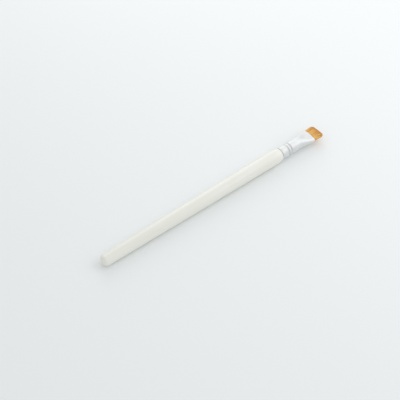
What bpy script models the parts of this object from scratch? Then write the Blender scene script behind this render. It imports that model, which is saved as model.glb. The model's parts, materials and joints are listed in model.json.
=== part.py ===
"""A short flat brush for cleaning lenses.

A turned and lacquered handle ends in a tenon. A seamless metal tube, the ferrule, is crimped on
it with two rings, and its front is pressed flat. The flat mouth holds the glued roots of a short
wide tuft, and resin fills the tube between the roots and the tenon. The free filaments are built
as locks, bundles of filaments well under a millimetre across. All locks turn together about an
axis across the mouth, which is where the real filaments bend.

Metres, +Z up. The brush lies on Z = 0 on the lowest facet of its handle, with +X towards the tuft
and +Y across the tuft's width. The middle of the brush's box is above the origin.
"""

import math

import bmesh
import bpy
from mathutils import Vector

MM = 0.001

# Handle
HANDLE_LENGTH = 144.05 * MM  # from the tail's end to the face that meets the ferrule
TAIL_DIAMETER = 8.0 * MM
BELLY_DIAMETER = 10.5 * MM  # the widest place, where the rounded shoulder begins
TAIL_DOME_LENGTH = 3.0 * MM
SHOULDER_LENGTH = 4.5 * MM
TENON_LENGTH = 11.0 * MM
TENON_CHAMFER = 0.6 * MM

# Ferrule
FERRULE_LENGTH = 27.0 * MM
FERRULE_DIAMETER = 8.5 * MM  # of the round tube
FERRULE_WALL = 0.3 * MM
CRIMP_PLACES = (5.3 * MM, 7.7 * MM)  # middle of each crimped ring, from the rear edge
CRIMP_WIDTH = 1.3 * MM  # at the tube's surface
CRIMP_FLOOR_WIDTH = 0.45 * MM
CRIMP_DEPTH = 0.35 * MM
PRESSED_LENGTH = 9.0 * MM  # from the end of the round tube to the parallel lip
LIP_LENGTH = 2.0 * MM
MOUTH_THICKNESS = 2.9 * MM

# Tuft
ROOT_LENGTH = 9.0 * MM  # the glued roots inside the ferrule
TUFT_LENGTH = 8.7 * MM  # the free filaments, from the mouth to the tip
TUFT_TIP_THICKNESS = 1.0 * MM
TUFT_FLARE = 0.5 * MM  # how much wider each side is at the tip than in the mouth
TUFT_CORNER_RADIUS = 2.6 * MM
LOCK_ROWS = ("lower", "middle", "upper")
LOCK_COLUMNS = 15
LOCK_CORNER_CUT = 0.35  # cut off each corner of a lock, as a share of its smaller half side
LOCK_STATIONS = ((0.45, 1.0), (0.84, 0.9), (1.0, 0.42))  # (share of the length, of the width)

# Clearances and motion
FIT_GAP = 0.25 * MM  # between a piece and what it fits in or seats on
LOCK_GAP = 0.12 * MM  # between neighbouring locks
FLEX_LIMIT = math.radians(35)  # how far the tuft bends to either side
FLEX_CLEARANCE = 0.15 * MM  # left between the locks and the mouth when they are bent that far

# Facets around a round piece. A multiple of four puts one at the bottom, top and either side.
HANDLE_SIDES = 12  # few enough that the light brush lies still on one of them
FERRULE_SIDES = 24  # also of what fills the ferrule
DOME_STEPS = 5
SHOULDER_STEPS = 5
SMOOTH_BELOW = math.radians(35)  # edges bent by more than this are drawn sharp
WELD_DISTANCE = 0.001 * MM  # closer points of a turned solid become one

# Worked out from the sizes above
FERRULE_RADIUS = FERRULE_DIAMETER / 2
BORE_RADIUS = FERRULE_RADIUS - FERRULE_WALL
MOUTH_RADIUS = MOUTH_THICKNESS / 2
# Pressing keeps the tube's girth, so what the mouth loses in height it gains in width.
MOUTH_STRAIGHT = math.pi * (FERRULE_DIAMETER - MOUTH_THICKNESS) / 4
MOUTH_HALF_WIDTH = MOUTH_STRAIGHT + MOUTH_RADIUS
PRESS_START = FERRULE_LENGTH - LIP_LENGTH - PRESSED_LENGTH
BELLY_X = HANDLE_LENGTH - SHOULDER_LENGTH
FERRULE_X = HANDLE_LENGTH + FIT_GAP
MOUTH_X = FERRULE_X + FERRULE_LENGTH
TUFT_HALF_WIDTH = MOUTH_HALF_WIDTH - FERRULE_WALL
TUFT_HALF_THICKNESS = MOUTH_RADIUS - FERRULE_WALL
TAPER_RISE = (BELLY_DIAMETER - TAIL_DIAMETER) / 2
TAPER_ANGLE = math.atan2(TAPER_RISE, BELLY_X - TAIL_DOME_LENGTH)


def clear_scene():
    for ob in list(bpy.data.objects):
        bpy.data.objects.remove(ob, do_unlink=True)


def make_material(name, colour, roughness, metallic=0.0):
    material = bpy.data.materials.new(name)
    material.use_nodes = True
    shader = material.node_tree.nodes["Principled BSDF"]
    shader.inputs["Base Color"].default_value = (*colour, 1.0)
    shader.inputs["Roughness"].default_value = roughness
    shader.inputs["Metallic"].default_value = metallic
    return material


def add_empty(name, location=(0, 0, 0), parent=None):
    empty = bpy.data.objects.new(name, None)
    empty.location = location
    empty.parent = parent
    bpy.context.scene.collection.objects.link(empty)
    return empty


def add_node(name, bm, material, parent, location=(0, 0, 0)):
    mesh = bpy.data.meshes.new(name)
    bm.to_mesh(mesh)
    bm.free()
    mesh.shade_smooth()
    mesh.set_sharp_from_angle(angle=SMOOTH_BELOW)
    mesh.materials.append(material)
    node = bpy.data.objects.new(name, mesh)
    node.location = location
    node.parent = parent
    bpy.context.scene.collection.objects.link(node)
    return node


def section(x, radius, straight=0.0):
    """The points of a cross-section at x, counter-clockwise seen from +X.

    It is a round with facets that lie on the given radius, drawn out sideways by a straight
    stretch of the given half-length.
    """
    corner = radius / math.cos(math.pi / FERRULE_SIDES)
    points = []
    for k in range(FERRULE_SIDES):
        angle = 2 * math.pi * (k + 0.5) / FERRULE_SIDES
        y, z = corner * math.cos(angle), corner * math.sin(angle)
        points.append(Vector((x, y + math.copysign(straight, y), z)))
    return points


def loft(rings, joined_ends=False):
    """A mesh through rings of points, closed by flat ends or by joining its last ring to its first."""
    bm = bmesh.new()
    loops = [[bm.verts.new(point) for point in ring] for ring in rings]
    if joined_ends:
        loops.append(loops[0])
    else:
        bm.faces.new(reversed(loops[0]))
        bm.faces.new(loops[-1])
    for near, far in zip(loops, loops[1:]):
        for k in range(len(near)):
            n = (k + 1) % len(near)
            bm.faces.new((near[k], near[n], far[n], far[k]))
    return bm


def lathe(profile):
    """A turned solid from (x, radius) points that start and end on the X axis.

    Its facets lie on the given radii.
    """
    bm = bmesh.new()
    turn = math.pi / HANDLE_SIDES
    verts = [bm.verts.new((x, radius, radius * math.tan(turn))) for x, radius in profile]
    edges = [bm.edges.new(pair) for pair in zip(verts, verts[1:])]
    bmesh.ops.spin(
        bm,
        geom=verts + edges,
        cent=(0, 0, 0),
        axis=(1, 0, 0),
        angle=2 * math.pi,
        steps=HANDLE_SIDES,
        use_merge=True,
    )
    bmesh.ops.remove_doubles(bm, verts=bm.verts, dist=WELD_DISTANCE)
    bmesh.ops.recalc_face_normals(bm, faces=bm.faces)
    return bm


def crimped(radius, rear_x):
    """(x, radius) points of both crimped rings on a surface, rear_x being the ferrule's rear edge."""
    points = []
    for place in CRIMP_PLACES:
        middle = rear_x + place
        points.append((middle - CRIMP_WIDTH / 2, radius))
        points.append((middle - CRIMP_FLOOR_WIDTH / 2, radius - CRIMP_DEPTH))
        points.append((middle + CRIMP_FLOOR_WIDTH / 2, radius - CRIMP_DEPTH))
        points.append((middle + CRIMP_WIDTH / 2, radius))
    return points


def ferrule_shape(x):
    """The outer radius and straight half-length of the ferrule at x, without its crimps."""
    pressed = min(max((x - PRESS_START) / PRESSED_LENGTH, 0.0), 1.0)
    radius = FERRULE_RADIUS + pressed * (MOUTH_RADIUS - FERRULE_RADIUS)
    return radius, pressed * MOUTH_STRAIGHT


def tail_dome():
    """(x, radius) points from the tip of the tail to where the straight taper begins."""
    points = []
    for k in range(DOME_STEPS):
        turn = math.pi / 2 * k / DOME_STEPS
        x = TAIL_DOME_LENGTH * (1 - math.cos(turn))
        points.append((x, TAIL_DIAMETER / 2 * math.sin(turn)))
    return points + [(TAIL_DOME_LENGTH, TAIL_DIAMETER / 2)]


def shoulder():
    """(x, radius) points from the belly round to the ferrule's own radius."""
    drop = BELLY_DIAMETER / 2 - FERRULE_RADIUS
    points = []
    for k in range(SHOULDER_STEPS + 1):
        turn = math.pi / 2 * k / SHOULDER_STEPS
        x = BELLY_X + SHOULDER_LENGTH * math.sin(turn)
        points.append((x, FERRULE_RADIUS + drop * math.cos(turn)))
    return points


def make_handle(parent):
    tenon_radius = (BORE_RADIUS - FIT_GAP) * math.cos(math.pi / HANDLE_SIDES)
    tenon_end = HANDLE_LENGTH + TENON_LENGTH
    profile = tail_dome() + shoulder()
    profile.append((HANDLE_LENGTH, tenon_radius))
    profile += crimped(tenon_radius, FERRULE_X)
    profile.append((tenon_end - TENON_CHAMFER, tenon_radius))
    profile.append((tenon_end, tenon_radius - TENON_CHAMFER))
    profile.append((tenon_end, 0.0))
    lacquer = make_material("cream_lacquer", (0.80, 0.79, 0.72), 0.3)
    return add_node("handle", lathe(profile), lacquer, parent)


def make_ferrule(parent):
    """The tube: its outside from the rear edge to the mouth, and its bore back again."""
    outside = [section(0.0, FERRULE_RADIUS)]
    outside += [section(x, radius) for x, radius in crimped(FERRULE_RADIUS, 0.0)]
    bore = [section(0.0, BORE_RADIUS)]
    bore += [section(x, radius) for x, radius in crimped(BORE_RADIUS, 0.0)]
    for x in (PRESS_START, FERRULE_LENGTH - LIP_LENGTH, FERRULE_LENGTH):
        radius, straight = ferrule_shape(x)
        outside.append(section(x, radius, straight))
        bore.append(section(x, radius - FERRULE_WALL, straight))
    bm = loft(outside + bore[::-1], joined_ends=True)
    metal = make_material("satin_aluminium", (0.74, 0.75, 0.76), 0.28, metallic=1.0)
    return add_node("ferrule", bm, metal, parent, (FERRULE_X, 0, 0))


def make_filling(name, start, end, material, parent):
    """A solid that fills the bore from start to end, both measured from the ferrule's rear edge."""
    between = [x for x in (PRESS_START, FERRULE_LENGTH - LIP_LENGTH) if start < x < end]
    rings = []
    for x in (start, *between, end):
        radius, straight = ferrule_shape(x)
        rings.append(section(x - start, radius - FERRULE_WALL - FIT_GAP, straight))
    return add_node(name, loft(rings), material, parent, (FERRULE_X + start, 0, 0))


def make_heel_resin(parent):
    start = TENON_LENGTH  # a gap past the tenon's end, because the ferrule begins a gap late
    end = FERRULE_LENGTH - ROOT_LENGTH - FIT_GAP
    resin = make_material("amber_resin", (0.55, 0.36, 0.14), 0.2)
    return make_filling("heel_resin", start, end, resin, parent)


def make_root_pack(parent, filament):
    start = FERRULE_LENGTH - ROOT_LENGTH
    return make_filling("root_pack", start, FERRULE_LENGTH, filament, parent)


def tuft_reach(across):
    """How far the tuft reaches ahead of the mouth, across being -1 to 1 over its width."""
    half_width = TUFT_HALF_WIDTH + TUFT_FLARE
    into_corner = max(abs(across) * half_width - half_width + TUFT_CORNER_RADIUS, 0.0)
    rounded = math.sqrt(max(TUFT_CORNER_RADIUS**2 - into_corner**2, 0.0))
    return TUFT_LENGTH - TUFT_CORNER_RADIUS + rounded


def edge_thinning(across):
    """The tuft's thickness at a place across the mouth's rounded ends, as a share of the full one."""
    past_flat = max(abs(across) * TUFT_HALF_WIDTH - MOUTH_STRAIGHT, 0.0) / TUFT_HALF_THICKNESS
    return math.sqrt(max(1 - past_flat**2, 0.0))


def cell_box(x, columns, rows, thinning):
    """Low and high (y, z) at x of the cell between two shares of the width and of the thickness."""
    along = x / TUFT_LENGTH
    half_width = TUFT_HALF_WIDTH + along * TUFT_FLARE
    root, tip = TUFT_HALF_THICKNESS, TUFT_TIP_THICKNESS / 2
    half_thickness = thinning * (root + along * (tip - root))
    low = (columns[0] * half_width + LOCK_GAP / 2, rows[0] * half_thickness + LOCK_GAP / 2)
    high = (columns[1] * half_width - LOCK_GAP / 2, rows[1] * half_thickness - LOCK_GAP / 2)
    return low, high


def lock_ring(x, low, high, width_share=1.0):
    """A lock's cross-section: its cell's rectangle with the corners cut, shrunk about its middle."""
    middle_y, middle_z = (low[0] + high[0]) / 2, (low[1] + high[1]) / 2
    a, b = (high[0] - low[0]) / 2 * width_share, (high[1] - low[1]) / 2 * width_share
    cut = LOCK_CORNER_CUT * min(a, b)
    quarter = ((a, b - cut), (a - cut, b))
    corners = [*quarter, *((-y, z) for y, z in quarter[::-1])]
    corners += [(-y, -z) for y, z in corners]
    return [Vector((x, middle_y + y, middle_z + z)) for y, z in corners]


def bend_free_root(ring):
    """Slants a root ring so that the lock clears the mouth when the tuft is bent to its limit."""
    heights = [abs(point.z) for point in ring]
    on_both_sides = min(point.z for point in ring) < 0 < max(point.z for point in ring)
    for point, height in zip(ring, heights):
        reach = max(heights) if on_both_sides else height
        point.x = reach * math.tan(FLEX_LIMIT) + FLEX_CLEARANCE / math.cos(FLEX_LIMIT)
    return ring


def make_lock(name, columns, rows, filament, parent):
    """One bundle of filaments, tapering at its tip, with its origin at its root on the mouth's plane."""
    middle = sum(columns) / 2
    thinning = edge_thinning(middle)
    low, high = cell_box(0.0, columns, rows, thinning)
    rings = [bend_free_root(lock_ring(0.0, low, high))]
    for share, width in LOCK_STATIONS:
        x = share * tuft_reach(middle)
        rings.append(lock_ring(x, *cell_box(x, columns, rows, thinning), width))
    root = Vector((0.0, (low[0] + high[0]) / 2, (low[1] + high[1]) / 2))
    own_rings = [[point - root for point in ring] for ring in rings]
    return add_node(name, loft(own_rings), filament, parent, root)


def make_tuft(parent, filament):
    """The locks, in rows through the tuft's thickness and columns across its width."""
    locks = []
    for row, row_name in enumerate(LOCK_ROWS):
        rows = [2 * edge / len(LOCK_ROWS) - 1 for edge in (row, row + 1)]
        for column in range(LOCK_COLUMNS):
            columns = [2 * edge / LOCK_COLUMNS - 1 for edge in (column, column + 1)]
            name = f"{row_name}_lock_{column + 1:02d}"
            locks.append(make_lock(name, columns, rows, filament, parent))
    return locks


def stand_on_ground(frame, nodes):
    """Moves the brush so that its box stands on Z = 0 with its middle above the origin."""
    bpy.context.view_layer.update()
    points = [node.matrix_world @ vertex.co for node in nodes for vertex in node.data.vertices]
    low = Vector(map(min, zip(*points)))
    high = Vector(map(max, zip(*points)))
    middle = (low + high) / 2
    frame.location -= Vector((middle.x, middle.y, low.z))
    bpy.context.view_layer.update()


def build_brush():
    clear_scene()
    brush_axis = add_empty("brush_axis")
    brush_axis.rotation_euler.y = -TAPER_ANGLE  # lays the tapered handle's lowest facet flat
    flex_axis = add_empty("flex_axis", (MOUTH_X, 0, 0), brush_axis)
    filament = make_material("golden_filament", (0.74, 0.37, 0.09), 0.45)
    nodes = [make_handle(brush_axis), make_ferrule(brush_axis), make_heel_resin(brush_axis)]
    nodes.append(make_root_pack(brush_axis, filament))
    nodes += make_tuft(flex_axis, filament)
    stand_on_ground(brush_axis, nodes)


build_brush()
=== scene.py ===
"""Visual model of a short flat brush for cleaning lenses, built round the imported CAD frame.

Shapes are worked out in the brush's own frame, in millimetres: x runs along the brush's axis
from the tail, y across the tuft and z through its thickness. AXIS takes them to the row frame.
"""

import json
import math

import bpy
import numpy as np
from mathutils import Matrix, Vector


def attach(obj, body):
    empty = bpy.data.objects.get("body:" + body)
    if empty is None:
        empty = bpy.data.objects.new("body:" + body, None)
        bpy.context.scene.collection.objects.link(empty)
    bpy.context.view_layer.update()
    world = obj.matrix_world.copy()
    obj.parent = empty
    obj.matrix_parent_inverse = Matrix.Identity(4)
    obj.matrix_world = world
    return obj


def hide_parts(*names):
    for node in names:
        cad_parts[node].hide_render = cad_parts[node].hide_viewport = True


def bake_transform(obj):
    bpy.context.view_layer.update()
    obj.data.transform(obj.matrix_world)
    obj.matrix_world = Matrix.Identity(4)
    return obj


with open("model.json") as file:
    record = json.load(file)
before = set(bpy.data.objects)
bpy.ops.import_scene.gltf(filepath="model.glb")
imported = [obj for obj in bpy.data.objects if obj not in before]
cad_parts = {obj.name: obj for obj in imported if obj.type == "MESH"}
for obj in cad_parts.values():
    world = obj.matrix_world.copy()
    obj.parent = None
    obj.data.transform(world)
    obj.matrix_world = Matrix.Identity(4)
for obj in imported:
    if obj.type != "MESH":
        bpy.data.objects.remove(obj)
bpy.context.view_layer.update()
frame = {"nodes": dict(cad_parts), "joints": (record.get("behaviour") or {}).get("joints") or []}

MM = 0.001

# Handle
HANDLE_LENGTH = 144.05
TAIL_DIAMETER = 8.0
BELLY_DIAMETER = 10.5
TAIL_DOME_LENGTH = 3.0
BELLY_X = 139.55  # where the taper would reach its widest
SHOULDER_LENGTH = 5.8
TENON_LENGTH = 11.0
TENON_CHAMFER = 0.6
TENON_GAP = 0.25
SEAT_ROUND = 0.35  # radius of the lacquer's edge where the handle meets the ferrule
SEAT_PROUD = 0.1  # how far that edge runs past the wood
SHOULDER_FULLNESS = (2.2, 0.8)  # powers of the shoulder's curve; 2 and 0.5 would be an ellipse
HANDLE_SIDES = 112

# Ferrule
FERRULE_LENGTH = 27.0
FERRULE_DIAMETER = 8.5
FERRULE_WALL = 0.3
FERRULE_GAP = 0.25  # between the handle's end and the ferrule
CRIMP_PLACES = (5.3, 7.7)
CRIMP_WIDTH = 1.3
CRIMP_DEPTH = 0.35
CRIMP_BEAD = 0.04  # how far the metal swells beside each crimped ring
BEAD_PLACE = 0.62  # from the ring's middle to the swelling's, in widths of the ring
BEAD_WIDTH = 0.22
PRESSED_LENGTH = 9.0
PRESS_SOFTNESS = 4.5  # length over which the bends at both ends of the pressed part run
LIP_LENGTH = 2.0
MOUTH_THICKNESS = 2.9
MOUTH_CROWN = 0.22  # how far each pressed face swells in its middle
MOUTH_BOW = 0.3  # how far the middle of the mouth stands ahead of its sides
MOUTH_BOW_POWER = 12  # keeps the bow to the front of the ferrule
LIP_PINCH = 0.05  # how far the very mouth is drawn in to grip the tuft
LIP_PINCH_LENGTH = 0.7
EDGE_ROUND = 0.09  # radius of the tube's cut edges
FERRULE_SIDES = 144

# Glued roots of the tuft, inside the ferrule
ROOT_PACK_LENGTH = 8.1
ROOT_PACK_RECESS = 0.9  # from the mouth back to the glue
ROOT_PACK_GAP = 0.03  # to the metal
ROOT_PACK_DOME = 0.3
ROOT_PACK_SIDES = 72

# Tuft
TUFT_LENGTH = 8.7
TUFT_FLARE = 0.42  # how much wider each side of the tuft is at its tip
TUFT_TIP_SHARE = 0.45  # thickness at the tip, as a share of the thickness in the mouth
FILAMENT_DIAMETER = 0.12
FILAMENT_PITCH = 0.124
FILAMENT_ROOT = -2.0  # where the filaments start, from the mouth
FILAMENT_SIDES = 6
FILAMENT_TIP_LENGTH = 0.06
FILAMENT_TAPER = 0.62  # how much of its thickness a filament loses by its tip
SHORT_SHARE = 0.05  # of all filaments
SHORT_BY = (0.3, 1.3)  # least and most
STRAY_SHARE = 0.02  # of all filaments; these bend away from the rest
CLUMP_WIDTH = 0.95  # of the faint bunches that the filaments gather in
CLUMP_PULL = 0.07
TONES = 40  # classes of filament colour
# shares of a filament's free length at which it has a ring of points, its ends left out
STATIONS = np.array([0.10, 0.21, 0.32, 0.43, 0.54, 0.65, 0.76, 0.87, 0.96])
CORNER_FROM = 0.62  # share of the half-width at which the tuft's end begins to round off
CORNER_LENGTH = 3.1
END_CROWN = 0.35  # how far the middle of the tuft's end stands ahead of its sides
END_LEAN = 0.45  # how much shorter the tuft is at its left side than at its right
CHISEL = 0.75  # how much shorter the filaments at the upper and lower faces are

SHOULDER_X = HANDLE_LENGTH + SEAT_PROUD - SEAT_ROUND - SHOULDER_LENGTH
FERRULE_X = HANDLE_LENGTH + FERRULE_GAP
MOUTH_X = FERRULE_X + FERRULE_LENGTH
FERRULE_RADIUS = FERRULE_DIAMETER / 2
MOUTH_RADIUS = MOUTH_THICKNESS / 2
MOUTH_STRAIGHT = math.pi * (FERRULE_DIAMETER - MOUTH_THICKNESS) / 4
PRESS_START = FERRULE_LENGTH - LIP_LENGTH - PRESSED_LENGTH
BORE_HALF_WIDTH = MOUTH_STRAIGHT + MOUTH_RADIUS - FERRULE_WALL
BORE_HALF_HEIGHT = MOUTH_RADIUS - FERRULE_WALL
BORE_COLUMNS = int(BORE_HALF_WIDTH / FILAMENT_PITCH) + 1
TAPER_ANGLE = math.atan2((BELLY_DIAMETER - TAIL_DIAMETER) / 2, BELLY_X - TAIL_DOME_LENGTH)

MOUTH = Vector(frame["joints"][0]["pos_m"])
AXIS = (
    Matrix.Translation(MOUTH)
    @ Matrix.Rotation(-TAPER_ANGLE, 4, "Y")
    @ Matrix.Translation((-MOUTH_X * MM, 0, 0))
    @ Matrix.Scale(MM, 4)
)
NO_RADIUS = 0.01  # stands for none where a turned piece ends on its axis
rng = np.random.default_rng(7)


# ---------------------------------------------------------------- meshes


def new_piece(name, points, faces, material):
    """An object from points in the brush's frame, smooth shaded."""
    rows = np.array(AXIS)
    placed = points @ rows[:3, :3].T + rows[:3, 3]
    mesh = bpy.data.meshes.new(name)
    mesh.from_pydata(placed.tolist(), [], faces)
    mesh.materials.append(material)
    mesh.shade_smooth()
    mesh.update()
    ob = bpy.data.objects.new(name, mesh)
    bpy.context.scene.collection.objects.link(ob)
    return ob


def add_attribute(ob, name, values):
    """A number for each point, which a material can read."""
    layer = ob.data.attributes.new(name, "FLOAT", "POINT")
    layer.data.foreach_set("value", np.asarray(values, np.float32))


def crowning(y, half_width):
    """How much a section is crowned at y: fully in its middle, not at its sides."""
    return np.clip(1 - (y / half_width) ** 2, 0, 1) ** 1.5


def ring(x, radius, straight, count, crown=0.0):
    """Points spaced evenly round a section: two half rounds joined by slightly crowned stretches."""
    quarter, flat = math.pi * radius / 2, 2 * straight
    s = (np.arange(count) + 0.5) / count * (4 * quarter + 2 * flat)
    right, top, left = quarter, quarter + flat, 3 * quarter + flat
    y, z = np.empty(count), np.empty(count)
    for k, at in enumerate(s):
        if at < right:
            a, y0 = at / radius, straight
        elif at < top:
            y[k], z[k] = straight - (at - right), radius
            continue
        elif at < left:
            a, y0 = math.pi / 2 + (at - top) / radius, -straight
        elif at < left + flat:
            y[k], z[k] = -straight + (at - left), -radius
            continue
        else:
            a, y0 = 1.5 * math.pi + (at - left - flat) / radius, straight
        y[k], z[k] = y0 + radius * math.cos(a), radius * math.sin(a)
    z += np.sign(z) * crown * crowning(y, straight + radius)
    return np.stack([np.full(count, x), y, z], 1)


def tube_faces(rings, count, joined_ends):
    """Quads between rings of count points each; open ends are closed by one face."""
    faces = []
    for r in range(rings if joined_ends else rings - 1):
        near, far = r * count, (r + 1) % rings * count
        for k in range(count):
            n = (k + 1) % count
            faces.append((near + k, near + n, far + n, far + k))
    if not joined_ends:
        faces.append(tuple(reversed(range(count))))
        faces.append(tuple(range((rings - 1) * count, rings * count)))
    return faces


def lathed(name, profile, count, material):
    """A turned piece from the (x, radius) points of its outline."""
    rings = [ring(x, max(radius, NO_RADIUS), 0.0, count) for x, radius in profile]
    return new_piece(name, np.concatenate(rings), tube_faces(len(rings), count, False), material)


def soft_clamp(t, softness):
    """0 to 1 as t goes from 0 to 1, with both bends rounded over softness."""
    shares = np.linspace(-0.5, 0.5, 21) * softness
    return float(np.clip(t + shares, 0, 1).mean())


def groove(x):
    """How deep the crimped rings are at x from the ferrule's rear edge, in shares of their depth."""
    depth = 0.0
    for place in CRIMP_PLACES:
        off = abs(x - place) / (CRIMP_WIDTH / 2)
        if off < 1:
            depth = max(depth, (0.5 + 0.5 * math.cos(math.pi * off)) ** 0.7)
    return depth


def bead(x):
    """The slight swelling on both sides of a crimped ring."""
    off = (abs(x - place) - CRIMP_WIDTH * BEAD_PLACE for place in CRIMP_PLACES)
    return sum(math.exp(-((o / BEAD_WIDTH) ** 2)) for o in off)


def taper_radius(x):
    """The handle's radius at x, between its rounded tail and its shoulder."""
    share = (x - TAIL_DOME_LENGTH) / (BELLY_X - TAIL_DOME_LENGTH)
    return (TAIL_DIAMETER + share * (BELLY_DIAMETER - TAIL_DIAMETER)) / 2


def make_handle(material):
    """Rounded tail, taper, shoulder and seat, then the tenon, into which the rings are crimped."""
    profile = []
    for turn in np.linspace(0, math.pi / 2, 22)[:-1]:
        profile.append(
            (TAIL_DOME_LENGTH * (1 - math.cos(turn)), TAIL_DIAMETER / 2 * math.sin(turn))
        )
    for x in np.linspace(TAIL_DOME_LENGTH, SHOULDER_X, 90)[:-1]:
        profile.append((x, taper_radius(x)))
    drop = taper_radius(SHOULDER_X) - FERRULE_RADIUS
    near, far = SHOULDER_FULLNESS
    for t in np.linspace(0, 1, 30):
        x = SHOULDER_X + t * SHOULDER_LENGTH
        profile.append((x, FERRULE_RADIUS + drop * (1 - t**near) ** far))
    seat_x = SHOULDER_X + SHOULDER_LENGTH
    for turn in np.linspace(0, math.pi / 2, 7)[1:]:
        curl = SEAT_ROUND * (1 - math.cos(turn))
        profile.append((seat_x + SEAT_ROUND * math.sin(turn), FERRULE_RADIUS - curl))
    tenon = FERRULE_RADIUS - FERRULE_WALL - TENON_GAP
    profile.append((HANDLE_LENGTH + SEAT_PROUD, tenon))
    for x in np.arange(0.6, TENON_LENGTH - TENON_CHAMFER, 0.2):
        profile.append((FERRULE_X + x, tenon - CRIMP_DEPTH * groove(x)))
    end = HANDLE_LENGTH + TENON_LENGTH
    profile += [(end - TENON_CHAMFER, tenon), (end, tenon - TENON_CHAMFER), (end, 0.0)]
    return lathed("lacquered_handle", profile, HANDLE_SIDES, material)


def ferrule_section(x):
    """Radius and straight half-length of the section at x, and how much its faces are crowned."""
    pressed = soft_clamp((x - PRESS_START) / PRESSED_LENGTH, PRESS_SOFTNESS / PRESSED_LENGTH)
    return (
        FERRULE_RADIUS + pressed * (MOUTH_RADIUS - FERRULE_RADIUS),
        pressed * MOUTH_STRAIGHT,
        pressed * MOUTH_CROWN,
    )


def make_ferrule(material):
    """The tube as one closed skin: outside from rear to mouth, round the lip, and back inside."""
    # closest together at the crimped rings
    places = [
        *np.arange(0.25, 4.2, 0.35),
        *np.arange(4.2, 8.8, 0.075),
        *np.arange(8.8, PRESS_START - 1, 0.5),
        *np.arange(PRESS_START - 1, FERRULE_LENGTH - 0.3, 0.25),
        FERRULE_LENGTH - 0.2,
    ]
    turns = np.linspace(0, math.pi / 2, 5)
    # each place is (x, how far inside the outer surface)
    edge = [(EDGE_ROUND * (1 - math.sin(t)), EDGE_ROUND * (1 - math.cos(t))) for t in turns[::-1]]
    outer = edge + [(x, 0.0) for x in places]
    lip = [
        (FERRULE_LENGTH - EDGE_ROUND * (1 - math.sin(t)), EDGE_ROUND * (1 - math.cos(t)))
        for t in turns
    ]
    lip += [(x, FERRULE_WALL - inside) for x, inside in lip[::-1]]
    inner = [(x, FERRULE_WALL) for x in places[::-1]]
    rear = [(x, FERRULE_WALL - inside) for x, inside in edge[::-1]]
    rings, depth = [], []
    for x, inside in outer + lip + inner + rear:
        radius, straight, crown = ferrule_section(x)
        pinch = LIP_PINCH * max(0.0, 1 - (FERRULE_LENGTH - x) / LIP_PINCH_LENGTH) ** 2
        g, b = groove(x), bead(x)
        r = radius - inside - pinch - CRIMP_DEPTH * g + CRIMP_BEAD * b * (1 - g)
        section = ring(FERRULE_X + x, r, straight, FERRULE_SIDES, crown)
        bow = MOUTH_BOW * (x / FERRULE_LENGTH) ** MOUTH_BOW_POWER
        section[:, 0] += bow * crowning(section[:, 1], BORE_HALF_WIDTH)
        rings.append(section)
        depth += [g] * FERRULE_SIDES
    faces = tube_faces(len(rings), FERRULE_SIDES, True)
    ob = new_piece("crimped_ferrule", np.concatenate(rings), faces, material)
    add_attribute(ob, "groove", depth)
    return ob


def make_root_pack(material):
    """The glued roots, which fill the bore up to just behind the mouth and end in a low dome."""
    front = FERRULE_LENGTH - ROOT_PACK_RECESS
    rings = []
    for x in np.linspace(front - ROOT_PACK_LENGTH, front, 24):
        radius, straight, crown = ferrule_section(x)
        fill = radius - FERRULE_WALL - ROOT_PACK_GAP
        rings.append(ring(FERRULE_X + x, fill, straight, ROOT_PACK_SIDES, crown))
    for share in (0.9, 0.6, 0.25):
        shrunk = rings[-1].copy()
        shrunk[:, 0] = FERRULE_X + front + ROOT_PACK_DOME * (1 - share)
        shrunk[:, 1:] *= share
        rings.append(shrunk)
    faces = tube_faces(len(rings), ROOT_PACK_SIDES, False)
    return new_piece("glued_roots", np.concatenate(rings), faces, material)


# ---------------------------------------------------------------- tuft


def packed_roots():
    """Places of the filaments in the mouth, packed as closely as round ones can be."""
    places = []
    row_step = FILAMENT_PITCH * math.sqrt(3) / 2
    end_radius = BORE_HALF_HEIGHT - FILAMENT_DIAMETER / 2
    rows = int((BORE_HALF_HEIGHT + MOUTH_CROWN) / row_step)
    for row in range(-rows, rows + 1):
        z = row * row_step
        first = FILAMENT_PITCH / 2 * (row % 2)
        for y in first + FILAMENT_PITCH * np.arange(-BORE_COLUMNS, BORE_COLUMNS + 1):
            past_straight = max(abs(y) - MOUTH_STRAIGHT, 0.0)
            room = math.sqrt(max(end_radius**2 - past_straight**2, 0))
            room += MOUTH_CROWN * crowning(y, MOUTH_STRAIGHT + MOUTH_RADIUS) * (room > 0)
            if abs(z) < room:
                places.append((y, z))
    return np.array(places)


def tuft_reach(across):
    """How far the tuft's end is ahead of the mouth, across being -1 to 1 over its width."""
    crown = END_CROWN * across**2 + END_LEAN * (1 + across) / 2
    corner = np.clip((np.abs(across) - CORNER_FROM) / (1 - CORNER_FROM), 0, 1)
    return TUFT_LENGTH - crown - CORNER_LENGTH * (1 - np.sqrt(1 - corner**2))


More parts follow.
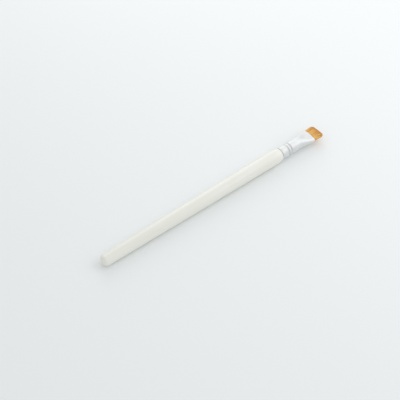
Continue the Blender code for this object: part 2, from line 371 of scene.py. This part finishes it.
def filament_paths(roots):
    """Centre lines (filament, station, xyz), radii and shares of the free length."""
    n = len(roots)
    across = roots[:, 0] / BORE_HALF_WIDTH
    through = roots[:, 1] / (BORE_HALF_HEIGHT + MOUTH_CROWN)
    reach = tuft_reach(across) - CHISEL * np.abs(through) ** 2.2
    reach -= np.abs(rng.normal(0, 0.09, n))
    short = rng.random(n) < SHORT_SHARE
    reach[short] -= rng.uniform(*SHORT_BY, short.sum())
    bend_y, bend_z = rng.normal(0, 0.075, n), rng.normal(0, 0.05, n)
    stray = rng.random(n) < STRAY_SHARE
    bend_y[stray] *= 3.5
    bend_z[stray] *= 2.5
    phase = roots[:, 0] / CLUMP_WIDTH + 0.35 * np.sin(roots[:, 1] * 1.7)
    clump = -CLUMP_PULL * np.sin(2 * math.pi * phase)
    ends = np.full((n, 1), FILAMENT_ROOT), np.full((n, 1), 0.05)
    s = np.concatenate([*ends, reach[:, None] * STATIONS, reach[:, None]], 1)
    t = np.clip(s / TUFT_LENGTH, 0, 1)
    y = roots[:, :1] * (1 + TUFT_FLARE / BORE_HALF_WIDTH * t**1.2)
    y = y + (bend_y + clump)[:, None] * t**2
    z = roots[:, 1:] * (1 - (1 - TUFT_TIP_SHARE) * t**1.15) + bend_z[:, None] * t**2
    own = np.clip(s / reach[:, None], 0, 1)
    thickness = rng.normal(1, 0.06, n)[:, None] * FILAMENT_DIAMETER / 2
    radii = thickness * (1 - FILAMENT_TAPER * own**2.4)
    return np.stack([MOUTH_X + s, y, z], 2), radii, own


def tone_of(roots):
    """A tone class for each filament: mostly random, with slow drifts across the tuft."""
    drift = 0.06 * np.sin(roots[:, 0] * 1.3 + 0.6) + 0.05 * np.sin(roots[:, 0] * 3.1)
    tone = np.clip(rng.beta(2.4, 2.4, len(roots)) + drift, 0, 0.999)
    return (tone * TONES).astype(int)


def make_filaments(name, roots, material):
    """One layer of the tuft: each filament is a closed mesh with a pointed tip and a tone."""
    paths, radii, own = filament_paths(roots)
    n, stations = radii.shape
    turn = np.arange(FILAMENT_SIDES) / FILAMENT_SIDES * 2 * math.pi
    start = rng.uniform(0, 2 * math.pi, n)[:, None, None]
    angle = start + turn[None, None, :]
    rings = np.repeat(paths[:, :, None, :], FILAMENT_SIDES, 2)
    rings[..., 1] += radii[:, :, None] * np.cos(angle)
    rings[..., 2] += radii[:, :, None] * np.sin(angle)
    tips = paths[:, -1] + [FILAMENT_TIP_LENGTH, 0, 0]
    per = stations * FILAMENT_SIDES + 1
    points = np.concatenate([rings.reshape(n, -1, 3), tips[:, None]], 1).reshape(-1, 3)
    faces, corners = [], []
    for r in range(stations - 1):
        for k in range(FILAMENT_SIDES):
            m = (k + 1) % FILAMENT_SIDES
            near, far = r * FILAMENT_SIDES, (r + 1) * FILAMENT_SIDES
            faces.append((near + k, near + m, far + m, far + k))
            corners.append([(k, r), (k + 1, r), (k + 1, r + 1), (k, r + 1)])
    last = (stations - 1) * FILAMENT_SIDES
    for k in range(FILAMENT_SIDES):
        faces.append((last + k, last + (k + 1) % FILAMENT_SIDES, per - 1))
        corners.append([(k, stations - 1), (k + 1, stations - 1), (k + 0.5, stations)])
    faces.append(tuple(reversed(range(FILAMENT_SIDES))))
    corners.append([(k, -0.4) for k in reversed(range(FILAMENT_SIDES))])
    all_faces = [tuple(i * per + v for v in face) for i in range(n) for face in faces]
    ob = new_piece(name, points, all_faces, material)

    classes = tone_of(roots)
    tones = np.repeat((classes + 0.5) / TONES, per)
    along = np.concatenate([np.repeat(own, FILAMENT_SIDES, 1), np.ones((n, 1))], 1).ravel()
    add_attribute(ob, "tone", tones)
    add_attribute(ob, "along", along)
    flat = np.array([c for face in corners for c in face], float)
    u = (classes[:, None] + 0.08 + 0.84 * flat[None, :, 0] / FILAMENT_SIDES) / TONES
    steps = np.arange(-1, stations + 1)
    level = np.interp(flat[:, 1], steps, np.linspace(0.01, 0.99, stations + 2))
    v = np.repeat(level[None], n, 0)
    layer = ob.data.uv_layers.new(name="OFBake", do_init=False)
    layer.uv.foreach_set("vector", np.stack([u.ravel(), v.ravel()], 1).astype(np.float32).ravel())
    return ob


# ---------------------------------------------------------------- materials


class Nodes:
    """A material's node tree, with short ways to add and link nodes."""

    def __init__(self, name):
        self.material = bpy.data.materials.new(name)
        self.material.use_nodes = True
        self.tree = self.material.node_tree
        self.shader = self.tree.nodes["Principled BSDF"]

    def add(self, kind, inputs=(), **settings):
        node = self.tree.nodes.new(f"ShaderNode{kind}")
        for key, value in settings.items():
            setattr(node, key, value)
        for key, value in dict(inputs).items():
            self.put(node, key, value)
        return node

    def put(self, node, key, value):
        socket = node.inputs[key]
        if isinstance(value, bpy.types.NodeSocket):
            self.tree.links.new(value, socket)
        else:
            socket.default_value = value

    def shade(self, **values):
        for key, value in values.items():
            self.put(self.shader, key.replace("_", " "), value)

    def place(self, scale):
        """Object coordinates multiplied by scale, in features per metre."""
        coordinates = self.add("TexCoord")
        mapping = self.add("Mapping", {"Vector": coordinates.outputs["Object"], "Scale": scale})
        return mapping.outputs["Vector"]

    def noise(self, scale, detail=3.0, roughness=0.5):
        inputs = {"Scale": 1.0, "Detail": detail, "Roughness": roughness}
        return self.add("TexNoise", {"Vector": self.place(scale), **inputs}).outputs["Fac"]

    def spread(self, value, low, high, to_low=0.0, to_high=1.0):
        node = self.add(
            "MapRange",
            {"Value": value, "From Min": low, "From Max": high, "To Min": to_low, "To Max": to_high},
        )
        return node.outputs["Result"]

    def mix(self, share, a, b):
        """Colour a, or colour b where share is 1. The node's colour sockets are 6, 7 and 2."""
        return self.add("Mix", {0: share, 6: a, 7: b}, data_type="RGBA").outputs[2]

    def times(self, a, b):
        return self.add("Math", {0: a, 1: b}, operation="MULTIPLY").outputs[0]

    def ramp(self, value, stops):
        node = self.add("ValToRGB", {"Fac": value})
        elements = node.color_ramp.elements
        elements[0].position, elements[0].color = stops[0]
        elements[1].position, elements[1].color = stops[-1]
        for position, colour in stops[1:-1]:
            elements.new(position).color = colour
        return node.outputs["Color"]

    def attribute(self, name):
        return self.add("Attribute", attribute_name=name).outputs["Fac"]

    def bump(self, height, distance, strength=1.0, under=None):
        inputs = {"Height": height, "Distance": distance, "Strength": strength}
        if under is not None:
            inputs["Normal"] = under
        return self.add("Bump", inputs).outputs["Normal"]


def lacquer_material():
    """Cream white lacquer over turned wood: slow mottling, faint grain, fine orange peel."""
    m = Nodes("pearl_cream_lacquer")
    mottle = m.noise((45, 160, 160), 2.0)
    grain = m.noise((24, 700, 700), 2.0, 0.5)
    colour = m.mix(m.spread(mottle, 0.35, 0.65), (0.86, 0.86, 0.80, 1), (0.84, 0.845, 0.77, 1))
    colour = m.mix(m.spread(grain, 0.4, 0.75, 0, 0.2), colour, (0.76, 0.745, 0.66, 1))
    peel = m.noise((900, 900, 900), 2.0)
    gloss = m.noise((70, 330, 330), 2.0)
    normal = m.bump(grain, 0.00002, 0.35)
    normal = m.bump(peel, 0.000015, 0.35, normal)
    m.shade(
        Base_Color=colour,
        Roughness=m.spread(gloss, 0.35, 0.65, 0.28, 0.38),
        Normal=normal,
        Coat_Weight=0.35,
        Coat_Roughness=0.12,
    )
    return m.material


def metal_material():
    """Bright aluminium: lines drawn along the tube, dulled spots, and dirt in the rings."""
    m = Nodes("drawn_aluminium")
    lines = m.noise((120, 5200, 5200), 4.0, 0.65)
    cloud = m.noise((260, 260, 260), 3.0)
    groove_share = m.attribute("groove")
    colour = m.mix(m.spread(cloud, 0.3, 0.7), (0.82, 0.83, 0.83, 1), (0.75, 0.76, 0.765, 1))
    dirt = m.times(m.spread(groove_share, 0.35, 1.0), m.spread(cloud, 0.3, 0.6, 0.3, 0.75))
    colour = m.mix(dirt, colour, (0.56, 0.555, 0.54, 1))
    dents = m.noise((420, 300, 300), 1.0)
    normal = m.bump(dents, 0.00006, 0.6)
    normal = m.bump(lines, 0.000006, 0.5, normal)
    m.shade(
        Base_Color=colour,
        Metallic=1.0,
        Roughness=m.spread(lines, 0.3, 0.7, 0.54, 0.68),
        Normal=normal,
    )
    return m.material


def filament_material():
    """Golden filaments: each has its own tone and a redder tip; towards the root they are darker,
    partly glue stain and partly painted shade from the mouth.
    """
    m = Nodes("golden_filament")
    tone = m.ramp(
        m.attribute("tone"),
        [
            (0.0, (0.66, 0.285, 0.065, 1)),
            (0.25, (0.80, 0.40, 0.09, 1)),
            (0.5, (0.88, 0.505, 0.12, 1)),
            (0.75, (0.92, 0.595, 0.165, 1)),
            (1.0, (0.95, 0.71, 0.28, 1)),
        ],
    )
    along = m.attribute("along")
    colour = m.mix(m.spread(along, 0.7, 1.0, 0.0, 0.45), tone, (0.72, 0.28, 0.07, 1))
    # painted shade: the filaments darken where they leave the mouth, partly glue on the roots and
    # partly the mouth's shadow painted in
    colour = m.mix(m.spread(along, 0.0, 0.16, 0.7, 0.0), colour, (0.42, 0.27, 0.06, 1))
    m.shade(Base_Color=colour, Roughness=0.38, Specular_IOR_Level=0.5)
    return m.material


def root_material():
    """Filament roots soaked in glue: dark gold with lines along the brush."""
    m = Nodes("glued_root")
    lines = m.noise((200, 7000, 7000), 3.0, 0.6)
    colour = m.mix(m.spread(lines, 0.3, 0.7), (0.42, 0.22, 0.05, 1), (0.62, 0.36, 0.10, 1))
    rough = m.spread(lines, 0.3, 0.7, 0.3, 0.5)
    m.shade(Base_Color=colour, Roughness=rough, Normal=m.bump(lines, 0.00003))
    return m.material


def resin_material():
    """Cured amber resin with cloudy places and a slightly uneven skin."""
    m = Nodes("cured_amber_resin")
    cloud = m.noise((500, 500, 500), 3.0)
    colour = m.mix(m.spread(cloud, 0.3, 0.7), (0.50, 0.30, 0.10, 1), (0.64, 0.43, 0.19, 1))
    m.shade(
        Base_Color=colour,
        Roughness=m.spread(cloud, 0.3, 0.7, 0.14, 0.3),
        Normal=m.bump(cloud, 0.00004, 0.5),
        Coat_Weight=0.3,
    )
    return m.material


def floor_material():
    """Plain pale paper."""
    m = Nodes("pale_sweep")
    m.shade(Base_Color=(0.878, 0.897, 0.905, 1), Roughness=0.75, Specular_IOR_Level=0.2)
    return m.material


# ---------------------------------------------------------------- pieces


def build_brush():
    """The pieces and the CAD nodes that they replace; the handle, ferrule and roots ride on the
    brush's body.
    """
    handle = make_handle(lacquer_material())
    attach(handle, "brush")
    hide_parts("handle")

    ferrule = make_ferrule(metal_material())
    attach(ferrule, "brush")
    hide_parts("ferrule")

    roots = make_root_pack(root_material())
    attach(roots, "brush")
    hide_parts("root_pack")

    frame["nodes"]["heel_resin"].data.materials[0] = resin_material()

    places = packed_roots()
    material = filament_material()
    third = BORE_HALF_HEIGHT / 3
    rows = (("lower", places[:, 1] < -third), ("upper", places[:, 1] > third))
    middle = ~(rows[0][1] | rows[1][1])
    for name, chosen in (rows[0], ("middle", middle), rows[1]):
        piece = make_filaments(f"{name}_filaments", places[chosen], material)
        locks = [n for n in frame["nodes"] if n.startswith(f"{name}_lock_")]
        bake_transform(piece)
        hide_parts(*locks)


# ---------------------------------------------------------------- stage, light and camera

CAMERA_HEADING = math.radians(39.5)  # of its view, from +Y towards +X
CAMERA_ELEVATION = math.radians(51)
CAMERA_DISTANCE = 0.5
CAMERA_ANGLE = math.radians(29.35)
CAMERA_NEAR = 0.01
AIM_RIGHT, AIM_AHEAD, AIM_HEIGHT = -0.01106, -0.00643, 0.004  # from the middle of the brush
FLOOR_HALF_SIDE = 4.0

# name, then how far it is to the camera's right, ahead and up, its size, and its power in watts
SOFT_LIGHTS = (
    ("side_light", 0.6, 0.0, 0.5, 0.6, 0.74),
    ("far_light", -0.1, 0.5, 0.3, 0.5, 0.685),
    ("front_light", 0.35, 0.2, 0.4, 0.4, 0.42),
)


def add_area_light(name, place, size, power):
    """A soft round light that shines at the middle of the brush."""
    light = bpy.data.lights.new(name, "AREA")
    light.shape = "DISK"
    light.size = size
    light.energy = power
    ob = bpy.data.objects.new(name, light)
    ob.location = place
    ob.rotation_euler = (-place).to_track_quat("-Z", "Y").to_euler()
    bpy.context.scene.collection.objects.link(ob)


def build_stage():
    """The floor, and an even light from the studio around it."""
    mesh = bpy.data.meshes.new("pale_floor")
    side = FLOOR_HALF_SIDE
    mesh.from_pydata(
        [(-side, -side, 0), (side, -side, 0), (side, side, 0), (-side, side, 0)], [], [(0, 1, 2, 3)]
    )
    mesh.materials.append(floor_material())
    floor = bpy.data.objects.new("pale_floor", mesh)
    bpy.context.scene.collection.objects.link(floor)

    world = bpy.data.worlds.new("studio")
    world.use_nodes = True
    background = world.node_tree.nodes["Background"]
    background.inputs["Color"].default_value = (0.985, 1.0, 1.0, 1)
    background.inputs["Strength"].default_value = 0.73
    scene = bpy.context.scene
    scene.world = world
    scene.view_settings.view_transform = "Standard"


def view_axes():
    """The camera's horizontal heading, its right, and its forward direction."""
    heading = Vector((math.sin(CAMERA_HEADING), math.cos(CAMERA_HEADING), 0))
    right = Vector((math.cos(CAMERA_HEADING), -math.sin(CAMERA_HEADING), 0))
    forward = heading * math.cos(CAMERA_ELEVATION) - Vector((0, 0, math.sin(CAMERA_ELEVATION)))
    return heading, right, forward


def build_camera_and_lights():
    """The camera, which looks down along the brush, and the lights, placed round its view."""
    heading, right, forward = view_axes()
    data = bpy.data.cameras.new("camera")
    data.angle = CAMERA_ANGLE
    data.clip_start = CAMERA_NEAR
    camera = bpy.data.objects.new("camera", data)
    middle = Vector((0, 0, AIM_HEIGHT))
    camera.location = middle - forward * CAMERA_DISTANCE
    aim = middle + right * AIM_RIGHT + heading * AIM_AHEAD
    camera.rotation_euler = (aim - camera.location).to_track_quat("-Z", "Y").to_euler()
    bpy.context.scene.collection.objects.link(camera)
    bpy.context.scene.camera = camera
    for name, to_right, ahead, up, size, power in SOFT_LIGHTS:
        place = right * to_right + heading * ahead + Vector((0, 0, up))
        add_area_light(name, place, size, power)


build_brush()
build_stage()
build_camera_and_lights()
